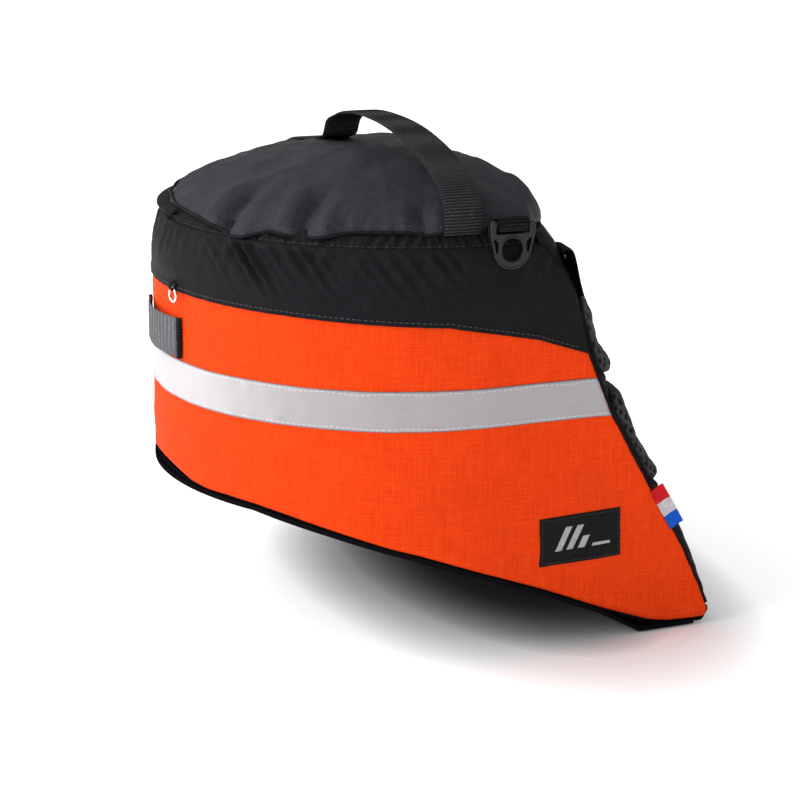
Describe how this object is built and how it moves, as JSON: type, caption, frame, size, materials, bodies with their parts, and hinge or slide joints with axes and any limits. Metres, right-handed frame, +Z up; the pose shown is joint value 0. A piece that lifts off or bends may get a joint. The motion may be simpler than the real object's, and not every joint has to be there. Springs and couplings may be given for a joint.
{
  "type": "pannier bag",
  "caption": "Wedge-shaped soft bag with a round back, a domed zip lid, a padded slanted face, a carry strap, side D-rings and corner loops; hangs behind a seat back.",
  "frame": {"origin": "on the floor, under the axis of the bag's half-round back, midway between its sides, at the height of the lowest point of the base", "axes": "+Z up, +X from the round back towards the slanted padded face that meets the seat, +Y to the bag's left seen from behind it"},
  "size_m": [0.3284, 0.3402, 0.3192],
  "materials": {
    "ripstop_orange": "coated ripstop, satin",
    "ripstop_charcoal": "charcoal ripstop, matt",
    "base_fabric": "black pack cloth, matt",
    "board": "stiff plastic sheet",
    "foam": "closed-cell foam",
    "spacer_mesh": "black spacer mesh",
    "binding": "black corded binding",
    "lining": "grey lining cloth",
    "reflective_tape": "silver reflective tape",
    "webbing": "black ribbed webbing",
    "label": "black woven label",
    "stripe_tag": "woven tag with three bands",
    "zip_tape": "black zip tape",
    "zip_coil": "black nylon coil",
    "zip_metal": "black painted zinc",
    "acetal": "black moulded acetal, satin",
    "steel": "bright steel wire"
  },
  "bodies": {
    "bag": {"side_panel": "ripstop_orange", "collar_panel": "ripstop_charcoal", "zip_facing": "ripstop_charcoal", "bottom_panel": "base_fabric", "base_board": "board", "seat_panel": "base_fabric", "seat_foam": "foam", "frame_sheet": "board", "mesh_pad": "spacer_mesh", "edge_binding_left": "binding", "edge_binding_right": "binding", "tip_binding": "binding", "side_foam": "foam", "liner": "lining", "reflective_strip": "reflective_tape", "light_loop": "webbing", "rear_tab": "ripstop_charcoal", "ring_tab": "webbing", "woven_label": "label", "stripe_tag": "stripe_tag", "d_ring_loop_left": "webbing", "d_ring_loop_right": "webbing", "front_loop_left": "webbing", "front_loop_right": "webbing", "zip_tape_body": "zip_tape", "zip_coil_body": "zip_coil", "zip_stops": "zip_metal"},
    "lid": {"lid_panel": "ripstop_charcoal", "lid_liner": "lining", "lid_piping": "binding", "lid_skirt": "lining", "zip_tape_lid": "zip_tape", "zip_coil_lid": "zip_coil"},
    "handle": {"handle": "webbing"},
    "zip_slider": {"zip_slider": "zip_metal"},
    "zip_pull": {"zip_pull": "zip_metal"},
    "d_ring_right": {"d_ring_right": "acetal"},
    "d_ring_left": {"d_ring_left": "acetal"},
    "steel_ring": {"steel_ring": "steel"}
  },
  "joints": [
    {"name": "lid_hinge", "type": "hinge", "parent": "bag", "child": "lid", "pos_m": [0.054, 0, 0.267], "axis": [0, 1, 0], "range_deg": [0, 100]},
    {"name": "handle_swing", "type": "hinge", "parent": "lid", "child": "handle", "pos_m": [-0.0157, 0, 0.2722], "axis": [0, 1, 0], "range_deg": [-15, 15]},
    {"name": "zip_slide", "type": "hinge", "parent": "bag", "child": "zip_slider", "pos_m": [0, 0, 0.261], "axis": [0, 0, 1], "range_deg": [0, 170]},
    {"name": "zip_pull_swing", "type": "hinge", "parent": "zip_slider", "child": "zip_pull", "pos_m": [-0.01252, 0.14305, 0.2656], "axis": [0.0872, -0.9962, 0], "range_deg": [0, 20]},
    {"name": "d_ring_right_swing", "type": "hinge", "parent": "bag", "child": "d_ring_right", "pos_m": [0.0075, -0.1655, 0.2732], "axis": [-1, 0, 0], "range_deg": [-5, 150]},
    {"name": "d_ring_left_swing", "type": "hinge", "parent": "bag", "child": "d_ring_left", "pos_m": [0.0075, 0.1655, 0.2732], "axis": [1, 0, 0], "range_deg": [-5, 150]},
    {"name": "steel_ring_swing", "type": "hinge", "parent": "bag", "child": "steel_ring", "pos_m": [-0.16001, -0.0311, 0.219], "axis": [-0.1908, 0.9816, 0], "range_deg": [0, 90]}
  ]
}
